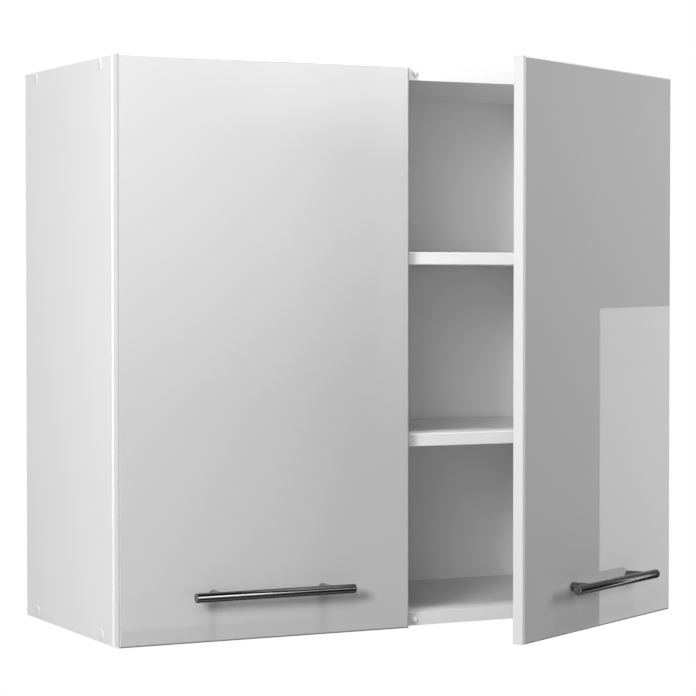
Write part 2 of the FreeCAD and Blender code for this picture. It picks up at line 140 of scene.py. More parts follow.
# Rows drawn about the z axis, set at a place with their z axis along a direction.
def placed(rows, place, direction):
    along = np.asarray(direction, dtype=float)
    helper = np.array([0.0, 0.0, 1.0]) if abs(along[2]) < 0.9 else np.array([1.0, 0.0, 0.0])
    side = np.cross(helper, along)
    side /= np.linalg.norm(side)
    other = np.cross(along, side)
    return np.asarray(place) + rows[..., :1] * side + rows[..., 1:2] * other + rows[..., 2:] * along


# Points of a circle's arc: the middle plus the radius times the cosine and sine of evenly spaced angles.
def arc(middle, radius, start, end, count):
    angle = np.radians(np.linspace(start, end, count))
    return [(middle[0] + radius * math.cos(a), middle[1] + radius * math.sin(a)) for a in angle]


# One object from several skins, with its poles merged, its faces outwards and its arrises sharp.
def makePiece(name, skins, body, material, stoodFor=(), sharp=40):
    points = np.concatenate([s[0] for s in skins])
    shifts = np.cumsum([0] + [len(s[0]) for s in skins[:-1]])
    quads = np.concatenate([s[1] + shift for s, shift in zip(skins, shifts)])
    if body == "right_door":
        points = swung(points, restOpening)
    mesh = bpy.data.meshes.new(name)
    mesh.from_pydata(points.tolist(), [], quads.tolist())
    work = bmesh.new()
    work.from_mesh(mesh)
    bmesh.ops.remove_doubles(work, verts=work.verts, dist=1e-6)
    bmesh.ops.dissolve_degenerate(work, edges=work.edges, dist=1e-7)
    bmesh.ops.recalc_face_normals(work, faces=work.faces)
    work.to_mesh(mesh)
    work.free()
    return finishPiece(name, mesh, body, material, stoodFor, sharp)


def finishPiece(name, mesh, body, material, stoodFor, sharp):
    mesh.polygons.foreach_set("use_smooth", [True] * len(mesh.polygons))
    mesh.set_sharp_from_angle(angle=math.radians(sharp))
    mesh.materials.append(material)
    piece = bpy.data.objects.new(name, mesh)
    bpy.context.scene.collection.objects.link(piece)
    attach(piece, body)
    if stoodFor:
        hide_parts(*stoodFor)
    return piece


# Shader node helpers
def addNode(tree, kind, **inputs):
    node = tree.nodes.new(kind)
    for name, value in inputs.items():
        connect(tree, value, node.inputs[name])
    return node


def connect(tree, value, socket):
    if isinstance(value, bpy.types.NodeSocket):
        tree.links.new(value, socket)
    else:
        socket.default_value = value


def maths(tree, operation, first, second=0.0, third=0.0):
    node = tree.nodes.new("ShaderNodeMath")
    node.operation = operation
    for value, socket in zip((first, second, third), node.inputs):
        connect(tree, value, socket)
    return node.outputs[0]


def vectorMaths(tree, operation, first, second):
    node = tree.nodes.new("ShaderNodeVectorMath")
    node.operation = operation
    connect(tree, first, node.inputs[0])
    connect(tree, second, node.inputs[1])
    return node.outputs[0]


def remap(tree, value, fromLow, fromHigh, toLow, toHigh, smooth=False):
    node = tree.nodes.new("ShaderNodeMapRange")
    node.interpolation_type = "SMOOTHSTEP" if smooth else "LINEAR"
    for socket, number in zip(node.inputs, (value, fromLow, fromHigh, toLow, toHigh)):
        connect(tree, number, socket)
    return node.outputs["Result"]


def mixColour(tree, share, first, second):
    node = tree.nodes.new("ShaderNodeMix")
    node.data_type = "RGBA"
    connect(tree, share, node.inputs["Factor"])
    connect(tree, first, node.inputs[6])  # sockets 6 and 7 are the node's two colours
    connect(tree, second, node.inputs[7])
    return node.outputs[2]


def grey(level, blue=0.0):
    return (level, level, level + blue, 1.0)


def startGroup(name, inputs, outputs):
    group = bpy.data.node_groups.new(name, "ShaderNodeTree")
    for label, value in inputs.items():
        kind = "NodeSocketFloat" if isinstance(value, float) else "NodeSocketVector"
        group.interface.new_socket(name=label, in_out="INPUT", socket_type=kind).default_value = value
    for label in outputs:
        group.interface.new_socket(name=label, in_out="OUTPUT", socket_type="NodeSocketFloat")
    return group, group.nodes.new("NodeGroupInput").outputs, group.nodes.new("NodeGroupOutput").inputs


def useGroup(tree, group, **inputs):
    node = tree.nodes.new("ShaderNodeGroup")
    node.node_tree = group
    for name, value in inputs.items():
        connect(tree, value, node.inputs[name])
    return node.outputs


def noise(tree, vector, scale, detail=2.0):
    node = addNode(tree, "ShaderNodeTexNoise", Vector=vector, Scale=scale, Detail=detail)
    return node.outputs[0]


# Fine texture: noise on stretched coordinates, centred on zero, as a height in metres.
def buildFineTexture():
    inputs = {"Vector": (0, 0, 0), "Stretch": (1, 1, 1), "Scale": 900.0, "Depth": 0.00001}
    group, given, result = startGroup("fineTexture", inputs, ["Height"])
    stretched = vectorMaths(group, "MULTIPLY", given["Vector"], given["Stretch"])
    level = noise(group, stretched, given["Scale"], 3.0)
    centred = maths(group, "SUBTRACT", level, 0.5)
    connect(group, maths(group, "MULTIPLY", centred, given["Depth"]), result["Height"])
    return group


wiping = {"stretch": (30.0, 30.0, 2.5), "share": 0.35, "broadShare": 0.65, "start": 0.38, "end": 0.62}


# Marks of hands and cloths: broad soft noise, lightly crossed by fine wiping lines, between two values.
def buildHandMarks():
    inputs = {"Vector": (0, 0, 0), "Scale": 9.0, "Low": 0.3, "High": 0.4}
    group, given, result = startGroup("handMarks", inputs, ["Roughness"])
    broad = noise(group, given["Vector"], given["Scale"], 4.0)
    lines = vectorMaths(group, "MULTIPLY", given["Vector"], wiping["stretch"])
    wiped = noise(group, lines, given["Scale"], 2.0)
    broadPart = maths(group, "MULTIPLY", broad, wiping["broadShare"])
    both = maths(group, "MULTIPLY_ADD", wiped, wiping["share"], broadPart)
    rough = remap(group, both, wiping["start"], wiping["end"], given["Low"], given["High"], smooth=True)
    connect(group, rough, result["Roughness"])
    return group


arrisWear = {"scale": 60.0, "detail": 5.0, "narrowest": 0.25, "widest": 1.5}


# Arris mask: the second smallest distance to the faces of the board's box is the distance to its
# nearest arris, and the mask falls from one to nothing within a width that noise makes uneven.
def buildArrisMask():
    inputs = {"Vector": (0, 0, 0), "Low": (-1, -1, -1), "High": (1, 1, 1), "Width": 0.001}
    group, given, result = startGroup("arrisMask", inputs, ["Mask"])
    fromLow = vectorMaths(group, "SUBTRACT", given["Vector"], given["Low"])
    fromHigh = vectorMaths(group, "SUBTRACT", given["High"], given["Vector"])
    nearest = group.nodes.new("ShaderNodeSeparateXYZ")
    connect(group, vectorMaths(group, "MINIMUM", fromLow, fromHigh), nearest.inputs[0])
    x, y, z = nearest.outputs
    lesser = maths(group, "MINIMUM", x, y)
    greater = maths(group, "MAXIMUM", x, y)
    middle = maths(group, "MAXIMUM", lesser, maths(group, "MINIMUM", greater, z))
    patchy = noise(group, given["Vector"], arrisWear["scale"], arrisWear["detail"])
    uneven = remap(group, patchy, 0.3, 0.7, arrisWear["narrowest"], arrisWear["widest"])
    width = maths(group, "MULTIPLY", given["Width"], uneven)
    connect(group, remap(group, middle, 0.0, width, 1.0, 0.0, smooth=True), result["Mask"])
    return group


dustFall = {"scale": 25.0, "detail": 6.0, "facingStart": 0.6, "thinnest": 0.2}


# Resting dust: noise where the surface looks up.
def buildRestingDust():
    inputs = {"Vector": (0, 0, 0), "Normal": (0, 0, 1), "Amount": 0.1}
    group, given, result = startGroup("restingDust", inputs, ["Mask"])
    facing = group.nodes.new("ShaderNodeSeparateXYZ")
    connect(group, given["Normal"], facing.inputs[0])
    up = remap(group, facing.outputs[2], dustFall["facingStart"], 1.0, 0.0, 1.0, smooth=True)
    patchy = noise(group, given["Vector"], dustFall["scale"], dustFall["detail"])
    patches = remap(group, patchy, 0.35, 0.7, dustFall["thinnest"], 1.0)
    settled = maths(group, "MULTIPLY", up, patches)
    connect(group, maths(group, "MULTIPLY", settled, given["Amount"]), result["Mask"])
    return group


fleckShares = {"chip": 0.6, "fibre": 0.4}


# Wood flecks: chips as cells of uneven brightness over fine fibre noise, and their height.
def buildWoodFlecks():
    inputs = {"Vector": (0, 0, 0), "Scale": 300.0, "Fibre": 2000.0, "Depth": 0.00005}
    group, given, result = startGroup("woodFlecks", inputs, ["Tone", "Height"])
    cells = addNode(group, "ShaderNodeTexVoronoi", Vector=given["Vector"], Scale=given["Scale"])
    chip = group.nodes.new("ShaderNodeSeparateColor")
    group.links.new(cells.outputs["Color"], chip.inputs[0])
    fibre = noise(group, given["Vector"], given["Fibre"], 3.0)
    fibrePart = maths(group, "MULTIPLY", fibre, fleckShares["fibre"])
    tone = maths(group, "MULTIPLY_ADD", chip.outputs[0], fleckShares["chip"], fibrePart)
    connect(group, tone, result["Tone"])
    connect(group, maths(group, "MULTIPLY", tone, given["Depth"]), result["Height"])
    return group


fineTexture = buildFineTexture()
woodFlecks = buildWoodFlecks()
handMarks = buildHandMarks()
arrisMask = buildArrisMask()
restingDust = buildRestingDust()


# An empty Principled material with its coordinates: object coordinates, those of the right door
# turned back to its closed place, and the object's normal.
def startMaterial(name, body="cabinet"):
    material = bpy.data.materials.new(name)
    material.use_nodes = True
    tree = material.node_tree
    shader = tree.nodes["Principled BSDF"]
    source = tree.nodes.new("ShaderNodeTexCoord")
    place = source.outputs["Object"]
    if body == "right_door":
        pin = np.array([rightPin[0], rightPin[1], 0.0])
        shift = pin - swungAboutOrigin(pin, -restOpening)
        mapping = addNode(tree, "ShaderNodeMapping", Vector=place, Location=tuple(shift),
                          Rotation=(0.0, 0.0, -restOpening))
        place = mapping.outputs[0]
    return material, tree, shader, place, source.outputs["Normal"]


# A point turned about the z axis through the origin.
def swungAboutOrigin(point, angle):
    cosine, sine = math.cos(angle), math.sin(angle)
    return np.array([cosine * point[0] - sine * point[1], sine * point[0] + cosine * point[1], point[2]])


def bump(tree, shader, height, strength=1.0):
    node = addNode(tree, "ShaderNodeBump", Height=height, Strength=strength, Distance=1.0)
    tree.links.new(node.outputs[0], shader.inputs["Normal"])


boardLook = {
    "colour": 0.90, "seamColour": 0.62, "dustColour": 0.64, "wornColour": 0.78,
    # Painted light and shade: these boards are painted this much paler or darker, for the light that falls on
    # them
    "paintedLight": {"top_panel": 0.025, "shelf_upper": 0.02, "bottom_panel": -0.12, "shelf_lower": -0.06},
    "wornShare": 0.5, "seamShare": 0.8,
    "roughLow": 0.34, "roughHigh": 0.46, "rawRough": 0.35, "markScale": 7.0,
    "pearlScale": 1100.0, "pearlDepth": 0.000012,
    "bandThickness": 0.8 * mm, "seamWidth": 0.10 * mm, "arrisWidth": 0.5 * mm, "dust": 0.10,
    "rawSkin": 0.2 * mm, "rawFade": 0.8, "chipDark": (0.26, 0.17, 0.10, 1), "chipPale": (0.60, 0.46, 0.31, 1),
    "chipScale": 420.0, "fibreScale": 2400.0, "chipDepth": 0.00008,
}
hardboardLook = {
    **boardLook, "colour": 0.88, "rawSkin": 1.5 * mm, "chipDark": (0.20, 0.115, 0.065, 1),
    "chipPale": (0.33, 0.205, 0.12, 1), "chipScale": 900.0, "fibreScale": 1500.0, "chipDepth": 0.00002,
}


# White board: pearl texture, a thin seam behind the front edge band, worn arrises and dust. Its rear
# faces are left raw: chips on the boards' rear edges and brown fibre on the back of the hardboard.
def boardMaterial(name, node, look=boardLook, banded=True):
    # Painted light and shade: some boards are painted paler or darker by the shift listed for them
    colour = look["colour"] + look["paintedLight"].get(node, 0.0)
    material, tree, shader, place, normal = startMaterial(name)
    low, high = nodeBox(node)
    worn = useGroup(tree, arrisMask, Vector=place, Low=tuple(low), High=tuple(high),
                    Width=look["arrisWidth"])["Mask"]
    wornShare = maths(tree, "MULTIPLY", worn, look["wornShare"])
    tone = mixColour(tree, wornShare, grey(colour), grey(look["wornColour"]))
    if banded:
        depth = addNode(tree, "ShaderNodeSeparateXYZ", Vector=place).outputs[1]
        fromSeam = maths(tree, "SUBTRACT", depth, float(low[1] + look["bandThickness"]))
        offset = maths(tree, "ABSOLUTE", fromSeam)
        seam = remap(tree, offset, 0.0, look["seamWidth"], look["seamShare"], 0.0, smooth=True)
        tone = mixColour(tree, seam, tone, grey(look["seamColour"]))
    dust = useGroup(tree, restingDust, Vector=place, Normal=normal, Amount=look["dust"])["Mask"]
    tone = mixColour(tree, dust, tone, grey(look["dustColour"]))
    rear = addNode(tree, "ShaderNodeSeparateXYZ", Vector=place).outputs[1]
    rawStart = float(high[1]) - look["rawSkin"]
    rawEnd = float(high[1]) - look["rawSkin"] * look["rawFade"]
    raw = remap(tree, rear, rawStart, rawEnd, 0.0, 1.0)
    chips = useGroup(tree, woodFlecks, Vector=place, Scale=look["chipScale"], Fibre=look["fibreScale"],
                     Depth=look["chipDepth"])
    chipTone = mixColour(tree, chips["Tone"], look["chipDark"], look["chipPale"])
    connect(tree, mixColour(tree, raw, tone, chipTone), shader.inputs["Base Color"])
    marks = useGroup(tree, handMarks, Vector=place, Scale=look["markScale"], Low=look["roughLow"],
                     High=look["roughHigh"])
    rough = maths(tree, "MULTIPLY_ADD", raw, look["rawRough"], marks["Roughness"])
    connect(tree, rough, shader.inputs["Roughness"])
    pearl = useGroup(tree, fineTexture, Vector=place, Scale=look["pearlScale"], Depth=look["pearlDepth"])
    bump(tree, shader, maths(tree, "MULTIPLY_ADD", chips["Height"], raw, pearl["Height"]))
    return material


doorLook = {
    # The doors' white edges are painted in two tones as painted light and shade: the right door's darker, for
    # the stronger light on its free edge
    "faceColour": 0.54, "shadedEdgeColour": {"left_door": 0.82, "right_door": 0.67},
    "backColour": 0.86, "backSkin": 0.3 * mm, "foilWrap": 2.2 * mm, "foilLine": 0.08 * mm,
    "glossLow": 0.008, "glossHigh": 0.022, "edgeRough": 0.36, "markScale": 6.0,
    # Painted shade on the arrises, darker on the under side, and a painted highlight on top
    "rimStart": 0.4 * mm, "rimEnd": 1.0 * mm, "arrisShadeTone": 0.12, "arrisShadeShare": 0.32, "underShadeShare": 0.55,
    "topHighlightTone": 0.88, "topHighlightShare": 0.85, "facingStart": 0.15, "facingEnd": 0.6,
    "peelScale": 60.0, "peelDepth": 0.000002,
    "pearlScale": 1100.0, "pearlDepth": 0.000010,
}


# Gloss door: light grey foil over the front and its rounded arrises, white edges and back. The foil on the
# arrises is painted darker as painted shade, most on the under side, and on top painted pale as a painted
# highlight.
def doorMaterial(name, node):
    look = doorLook
    material, tree, shader, place, normal = startMaterial(name, bodyOf(node))
    low, high = nodeBox(node)
    depth = addNode(tree, "ShaderNodeSeparateXYZ", Vector=place).outputs[1]
    foilEnd = float(low[1]) + look["foilWrap"]
    foil = remap(tree, depth, foilEnd - look["foilLine"], foilEnd + look["foilLine"], 1.0, 0.0)
    behind = float(high[1]) - look["backSkin"]
    back = remap(tree, depth, behind - look["foilLine"], behind + look["foilLine"], 0.0, 1.0)
    # Painted light and shade: each door's edges take their own painted white
    white = mixColour(tree, back, grey(look["shadedEdgeColour"][bodyOf(node)]), grey(look["backColour"]))
    front = float(low[1])
    # Painted shade: the foil on the arrises is painted darker, more on the under side
    rim = remap(tree, depth, front + look["rimStart"], front + look["rimEnd"], 0.0, 1.0)
    facing = addNode(tree, "ShaderNodeSeparateXYZ", Vector=normal).outputs[2]
    up = remap(tree, facing, look["facingStart"], look["facingEnd"], 0.0, 1.0)
    under = remap(tree, facing, -look["facingEnd"], -look["facingStart"], look["underShadeShare"], 0.0)
    dark = maths(tree, "MULTIPLY_ADD", rim, look["arrisShadeShare"], under)
    shadedArris = mixColour(tree, dark, grey(look["faceColour"]), grey(look["arrisShadeTone"]))
    tone = mixColour(tree, foil, white, shadedArris)
    # Painted highlight: the foil on the top arris is painted pale
    tone = mixColour(tree, maths(tree, "MULTIPLY", up, look["topHighlightShare"]), tone, grey(look["topHighlightTone"]))
    connect(tree, tone, shader.inputs["Base Color"])
    gloss = useGroup(tree, handMarks, Vector=place, Scale=look["markScale"], Low=look["glossLow"],
                     High=look["glossHigh"])
    edge = maths(tree, "MULTIPLY", maths(tree, "SUBTRACT", 1.0, foil), look["edgeRough"])
    connect(tree, maths(tree, "MULTIPLY_ADD", gloss["Roughness"], foil, edge), shader.inputs["Roughness"])
    peel = useGroup(tree, fineTexture, Vector=place, Scale=look["peelScale"], Depth=look["peelDepth"])
    pearl = useGroup(tree, fineTexture, Vector=place, Scale=look["pearlScale"], Depth=look["pearlDepth"])
    unfoiled = maths(tree, "MULTIPLY", pearl["Height"], maths(tree, "SUBTRACT", 1.0, foil))
    bump(tree, shader, maths(tree, "MULTIPLY_ADD", peel["Height"], foil, unfoiled))
    return material


metalLooks = {
    "handle": {"colour": 0.20, "blue": 0.002, "roughLow": 0.09, "roughHigh": 0.14,
               "stretch": (0.02, 1.0, 1.0), "scale": 2600.0, "depth": 0.0000004},
    "nickel": {"colour": 0.66, "blue": -0.03, "roughLow": 0.22, "roughHigh": 0.34,
               "stretch": (1.0, 1.0, 1.0), "scale": 1500.0, "depth": 0.000004},
    "zinc": {"colour": 0.60, "blue": 0.02, "roughLow": 0.30, "roughHigh": 0.45,
             "stretch": (1.0, 1.0, 1.0), "scale": 1800.0, "depth": 0.000006},
}
metalStain = {"scale": 180.0, "share": 0.35, "dulling": 0.82, "markScale": 40.0}


# Metal: brushed or plated, with uneven gloss, slight stains and fine lines.
def metalMaterial(name, kind, body="cabinet"):
    look = metalLooks[kind]
    material, tree, shader, place, _ = startMaterial(name, body)
    shader.inputs["Metallic"].default_value = 1.0
    patchy = noise(tree, place, metalStain["scale"], 4.0)
    stain = remap(tree, patchy, 0.45, 0.75, 0.0, metalStain["share"])
    bright = grey(look["colour"], look["blue"])
    dull = grey(look["colour"] * metalStain["dulling"], look["blue"])
    connect(tree, mixColour(tree, stain, bright, dull), shader.inputs["Base Color"])
    marks = useGroup(tree, handMarks, Vector=place, Scale=metalStain["markScale"], Low=look["roughLow"],
                     High=look["roughHigh"])
    connect(tree, marks["Roughness"], shader.inputs["Roughness"])
    lines = useGroup(tree, fineTexture, Vector=place, Stretch=look["stretch"], Scale=look["scale"],
                     Depth=look["depth"])
    bump(tree, shader, lines["Height"])
    return material


plasticLooks = {
    "cap": {"colour": 0.84, "roughLow": 0.28, "roughHigh": 0.40, "scale": 1600.0, "depth": 0.000006,
            "dust": 0.12},
    "hanger": {"colour": 0.80, "roughLow": 0.42, "roughHigh": 0.55, "scale": 1300.0, "depth": 0.000016,
               "dust": 0.25},
}
plasticDustColour = 0.55


# Moulded plastic: a fine spark texture, soft sheen changes and a little dust.
def plasticMaterial(name, kind):
    look = plasticLooks[kind]
    material, tree, shader, place, normal = startMaterial(name)
    dust = useGroup(tree, restingDust, Vector=place, Normal=normal, Amount=look["dust"])["Mask"]
    tone = mixColour(tree, dust, grey(look["colour"]), grey(plasticDustColour))
    connect(tree, tone, shader.inputs["Base Color"])
    marks = useGroup(tree, handMarks, Vector=place, Scale=60.0, Low=look["roughLow"], High=look["roughHigh"])
    connect(tree, marks["Roughness"], shader.inputs["Roughness"])
    spark = useGroup(tree, fineTexture, Vector=place, Scale=look["scale"], Depth=look["depth"])
    bump(tree, shader, spark["Height"])
    return material


bumperLook = {
    "transmission": 0.06, "subsurface": 0.25, "subsurfaceScale": 1.0 * mm, "ior": 1.45,
    "pale": 0.90, "cloudy": 0.84, "cloudScale": 900.0, "roughLow": 0.12, "roughHigh": 0.26,
}


# Clear soft bumper: cloudy plastic that lets a part of the light through.
def bumperMaterial(name):
    look = bumperLook
    material, tree, shader, place, _ = startMaterial(name)
    shader.inputs["Transmission Weight"].default_value = look["transmission"]
    shader.inputs["Subsurface Weight"].default_value = look["subsurface"]
    shader.inputs["Subsurface Scale"].default_value = look["subsurfaceScale"]
    shader.inputs["IOR"].default_value = look["ior"]
    cloud = remap(tree, noise(tree, place, look["cloudScale"], 3.0), 0.3, 0.7, 0.0, 1.0)
    tone = mixColour(tree, cloud, grey(look["pale"]), grey(look["cloudy"]))
    connect(tree, tone, shader.inputs["Base Color"])
    marks = useGroup(tree, handMarks, Vector=place, Scale=80.0, Low=look["roughLow"], High=look["roughHigh"])
    connect(tree, marks["Roughness"], shader.inputs["Roughness"])
    return material


beechLook = {
    "dark": (0.62, 0.42, 0.25, 1), "pale": (0.74, 0.56, 0.37, 1), "stretch": (0.15, 1.0, 1.0),
    "scale": 1200.0, "depth": 0.00004, "roughLow": 0.5, "roughHigh": 0.68,
}


# Beech: short grain flecks along the dowel and a warm tone between two browns.
def beechMaterial(name):
    look = beechLook
    material, tree, shader, place, _ = startMaterial(name)
    grain = noise(tree, vectorMaths(tree, "MULTIPLY", place, look["stretch"]), look["scale"], 4.0)
    connect(tree, mixColour(tree, grain, look["dark"], look["pale"]), shader.inputs["Base Color"])
    rough = remap(tree, grain, 0.3, 0.7, look["roughLow"], look["roughHigh"])
    connect(tree, rough, shader.inputs["Roughness"])
    flecks = useGroup(tree, fineTexture, Vector=place, Stretch=look["stretch"], Scale=look["scale"],
                      Depth=look["depth"])
    bump(tree, shader, flecks["Height"])
    return material


# Carried-over frame nodes take their own materials
def dress(node, material):
    slots = nodes[node].material_slots
    for one in slots:
        one.material = material


boards = ("side_panel_left", "side_panel_right", "top_panel", "bottom_panel", "shelf_lower", "shelf_upper")
for board in boards:
    dress(board, boardMaterial("whiteBoard." + board, board))
dress("back_panel", boardMaterial("whiteHardboard", "back_panel", hardboardLook, banded=False))
dress("carcass_dowels", beechMaterial("beech"))
zinc = metalMaterial("zincPlate", "zinc")
nickel = metalMaterial("nickelPlate", "nickel")
hangerPlastic = plasticMaterial("hangerPlastic", "hanger")
for node in ("carcass_screws_left", "carcass_screws_right"):
    dress(node, zinc)
for node in ("hinge_pins_left", "hinge_pins_right"):
    dress(node, nickel)
for side in ("left", "right"):
    dress("door_" + side, doorMaterial("glossDoor." + side, "door_" + side))
print("materials on the frame's nodes")


handle = {
    "endRadius": 1.0 * mm, "endDish": 0.15 * mm, "dishShare": 0.55, "flatShare": 0.9, "endSteps": 7,
    "sides": 64, "postSides": 48, "postRings": (1.0, 0.8, 0.55, 0.3, 0.0),
    "sunk": 0.15 * mm, "footChamfer": 0.35 * mm,
}


# Handle bar: a straight outline with rounded ends and slightly dished faces, carried round the x axis.
def handleBar(side, material):
    node = "handle_bar_" + side
    low, high = nodeBox(node)
    radius = (high[2] - low[2]) / 2
    length = high[0] - low[0]
    rounding = handle["endRadius"]
    dish = handle["endDish"]
    rim = radius - rounding
    start = [(dish, 0.0), (dish, rim * handle["dishShare"]), (0.0, rim * handle["flatShare"])]
    start += arc((rounding, rim), rounding, 180, 90, handle["endSteps"])
    outline = start + [(length - along, out) for along, out in reversed(start)]
    middle = (low + high) / 2
    rows = placed(turnedRows(outline, handle["sides"]), (low[0], middle[1], middle[2]), (1, 0, 0))
    return makePiece("handleBar." + side, [skin(rows)], bodyOf(node), material, [node], 50)


# Handle posts: a round post whose far end follows the bar, where the reach is the standoff less
# the root of the bar's radius squared less the height squared.
def handlePosts(side, material):
    node = "handle_posts_" + side
    barLow, barHigh = nodeBox("handle_bar_" + side)
    barRadius = (barHigh[2] - barLow[2]) / 2
    barY = (barHigh[1] + barLow[1]) / 2
    angle = np.linspace(0, 2 * math.pi, handle["postSides"], endpoint=False)
    skins = []
    for low, high in solidBoxes(node):
        radius = (high[0] - low[0]) / 2
        x, z, face = (low[0] + high[0]) / 2, (low[2] + high[2]) / 2, high[1]
        standoff = face - barY
        foot = handle["footChamfer"]
        radii = [0.0, radius - foot, radius]
        lengths = [0.0, 0.0, foot]
        rows = [np.stack([r * np.cos(angle), r * np.sin(angle), np.full_like(angle, t)], axis=-1)
                for r, t in zip(radii, lengths)]
        for share in handle["postRings"]:
            r = radius * share
            root = np.sqrt(np.maximum(barRadius ** 2 - (r * np.sin(angle)) ** 2, 0.0))
            reach = standoff - root + handle["sunk"]
            rows.append(np.stack([r * np.cos(angle), r * np.sin(angle), reach], axis=-1))
        grid = np.stack(rows)
        # The post runs along -Y, with its own x along X and its own y along Z
        skins.append(skin(np.stack([x + grid[..., 0], face - grid[..., 2], z + grid[..., 1]], axis=-1)))
    return makePiece("handlePosts." + side, skins, bodyOf(node), material, [node], 45)


cap = {
    "dome": 0.25 * mm, "domeRings": (0.0, 0.25, 0.5, 0.75, 1.0), "edge": 0.75 * mm, "lip": 0.15 * mm,
    "stemRadius": 1.8 * mm, "stemTaper": 0.9, "sides": 48,
}


# Cover caps: a low dome that falls with the square of the radius, a rounded edge and a stem, carried
# round the cap's middle.
def screwCaps(side, material):
    node = "screw_caps_" + side
    face = nodeBox("side_panel_" + side)[0 if side == "left" else 1][0]
    outward = -1.0 if side == "left" else 1.0
    skins = []
    for low, high in solidBoxes(node):
        radius = (high[1] - low[1]) / 2
        height = max(abs(low[0]), abs(high[0])) - abs(face)
        stem = min(abs(low[0]), abs(high[0])) - abs(face)
        edge, dome = cap["edge"], cap["dome"]
        flat = radius - edge
        outline = [(height - dome * (share ** 2), flat * share) for share in cap["domeRings"]]
        outline += arc((height - dome - edge, flat), edge, 0, 90, 6)[1:]
        outline += [(cap["lip"], radius), (0.0, radius - cap["lip"])]
        outline += [(0.0, cap["stemRadius"]), (stem, cap["stemRadius"] * cap["stemTaper"]), (stem, 0.0)]
        middle = (low + high) / 2
        rows = turnedRows(outline, cap["sides"])
        skins.append(skin(placed(rows, (face, middle[1], middle[2]), (outward, 0, 0))))
    return makePiece("screwCaps." + side, skins, "cabinet", material, [node], 50)


bumper = {"rings": 12, "sides": 40, "fall": 0.72}


# Door bumpers: a clear dome whose height falls with the fourth power of the radius.
def doorBumpers(material):
    skins = []
    for low, high in solidBoxes("door_bumpers"):
        radius = (high[0] - low[0]) / 2
        height = high[1] - low[1]
        share = np.linspace(0.0, 1.0, bumper["rings"])
        outline = [(height * (1.0 - bumper["fall"] * one ** 4), radius * one) for one in share]
        outline += [(0.0, radius), (0.0, 0.0)]
        middle = (low + high) / 2
        rows = turnedRows(outline, bumper["sides"])
        skins.append(skin(placed(rows, (middle[0], high[1], middle[2]), (0, -1, 0))))
    return makePiece("doorBumpers", skins, "cabinet", material, ["door_bumpers"], 50)


# The screws of each kind: their axis and the way their heads face, which the right-hand side mirrors
# where they are mirrored, then head thickness, shank radius, pitch of the thread and length of the point.
screws = {
    "plate_screws": {"axis": 0, "way": 1, "mirrored": True,
                     "head": 1.6 * mm, "shank": 2.0 * mm, "pitch": 1.4 * mm, "point": 3.0 * mm},
    "arm_screws": {"axis": 0, "way": 1, "mirrored": True,
                   "head": 2.2 * mm, "shank": 2.4 * mm, "pitch": 1.0 * mm, "point": 0.4 * mm},
    "cup_screws": {"axis": 1, "way": 1, "mirrored": False,
                   "head": 1.6 * mm, "shank": 2.0 * mm, "pitch": 1.4 * mm, "point": 3.0 * mm},
    "handle_screws": {"axis": 1, "way": 1, "mirrored": False,
                      "head": 2.4 * mm, "shank": 2.0 * mm, "pitch": 0.8 * mm, "point": 0.3 * mm},
    "hanger_adjusters": {"axis": 1, "way": -1, "mirrored": False,
                         "head": 1.0 * mm, "shank": 3.4 * mm, "pitch": 1.2 * mm, "point": 0.5 * mm},
}
screwForm = {"columns": 48, "headRings": 15, "crown": 0.10, "edge": 0.28, "edgeSteps": 5,
             "recessReach": 0.56, "recessHalf": 0.12, "recessDepth": 0.60,
             "stepsPerTurn": 4, "threadDepth": 0.18, "tipShare": 0.08}


# A screw about the z axis with the underside of its head at nothing: a crowned head with a cross
# recess, whose depth falls off across and along its two arms, and a shank whose radius dips by a
# triangle wave of the distance along less the angle round, so that the dip climbs as a thread.
def screwRows(radius, height, shank, length, pitch, point):
    form = screwForm
    angle = np.linspace(0, 2 * math.pi, form["columns"], endpoint=False)
    edge = form["edge"] * height
    flat = radius - edge
    crown = form["crown"] * height
    share = np.linspace(0.0, 1.0, form["headRings"])[:, None]
    r = share * flat
    x, y = r * np.cos(angle), r * np.sin(angle)
    across, along = np.minimum(abs(x), abs(y)), np.maximum(abs(x), abs(y))
    half, reach = form["recessHalf"] * radius, form["recessReach"] * radius
    inside = np.clip((half * 1.5 - across) / half, 0, 1)
    inside = inside * np.clip((reach - along) / (reach * 0.5), 0, 1)
    top = height - crown * share ** 2 - form["recessDepth"] * height * inside
    rows = [np.stack([x, y, top], axis=-1)]
    corner = arc((height - crown - edge, flat), edge, 0, 90, form["edgeSteps"])[1:]
    corner += [(0.0, radius), (0.0, shank)]
    rows.append(turnedRows(corner, form["columns"]))
    turns = length / pitch
    z = np.linspace(0, -length, int(turns * form["stepsPerTurn"]) + 2)[1:, None]
    phase = (-z / pitch - angle / (2 * math.pi)) % 1.0
    dip = form["threadDepth"] * shank * abs(2 * phase - 1)
    taper = np.clip((z + length) / point, form["tipShare"], 1.0)
    out = (shank - dip) * taper
    rows.append(np.stack([out * np.cos(angle), out * np.sin(angle), z + 0 * angle], axis=-1))
    rows.append(turnedRows([(-length, 0.0)], form["columns"]))
    return np.concatenate(rows)


def screwSet(kind, side, material):
    values = screws[kind]
    node = kind + "_" + side
    axis = values["axis"]
    way = -values["way"] if values["mirrored"] and side == "right" else values["way"]
    direction = np.zeros(3)
    direction[axis] = way
    skins = []
    for low, high in solidBoxes(node):
        outer, tip = (high[axis], low[axis]) if way > 0 else (low[axis], high[axis])
        middle = (low + high) / 2
        middle[axis] = outer - way * values["head"]
        radius = (high[2] - low[2]) / 2
        length = abs(outer - tip) - values["head"]
        rows = screwRows(radius, values["head"], values["shank"], length, values["pitch"], values["point"])
        skins.append(skin(placed(rows, middle, direction)))
    words = kind.split("_")
    name = words[0] + words[1].capitalize() + "." + side
    return makePiece(name, skins, bodyOf(node), material, [node], 35)


softEdges = {"width": 0.3 * mm, "plasticWidth": 0.6 * mm, "segments": 2, "angle": 35}


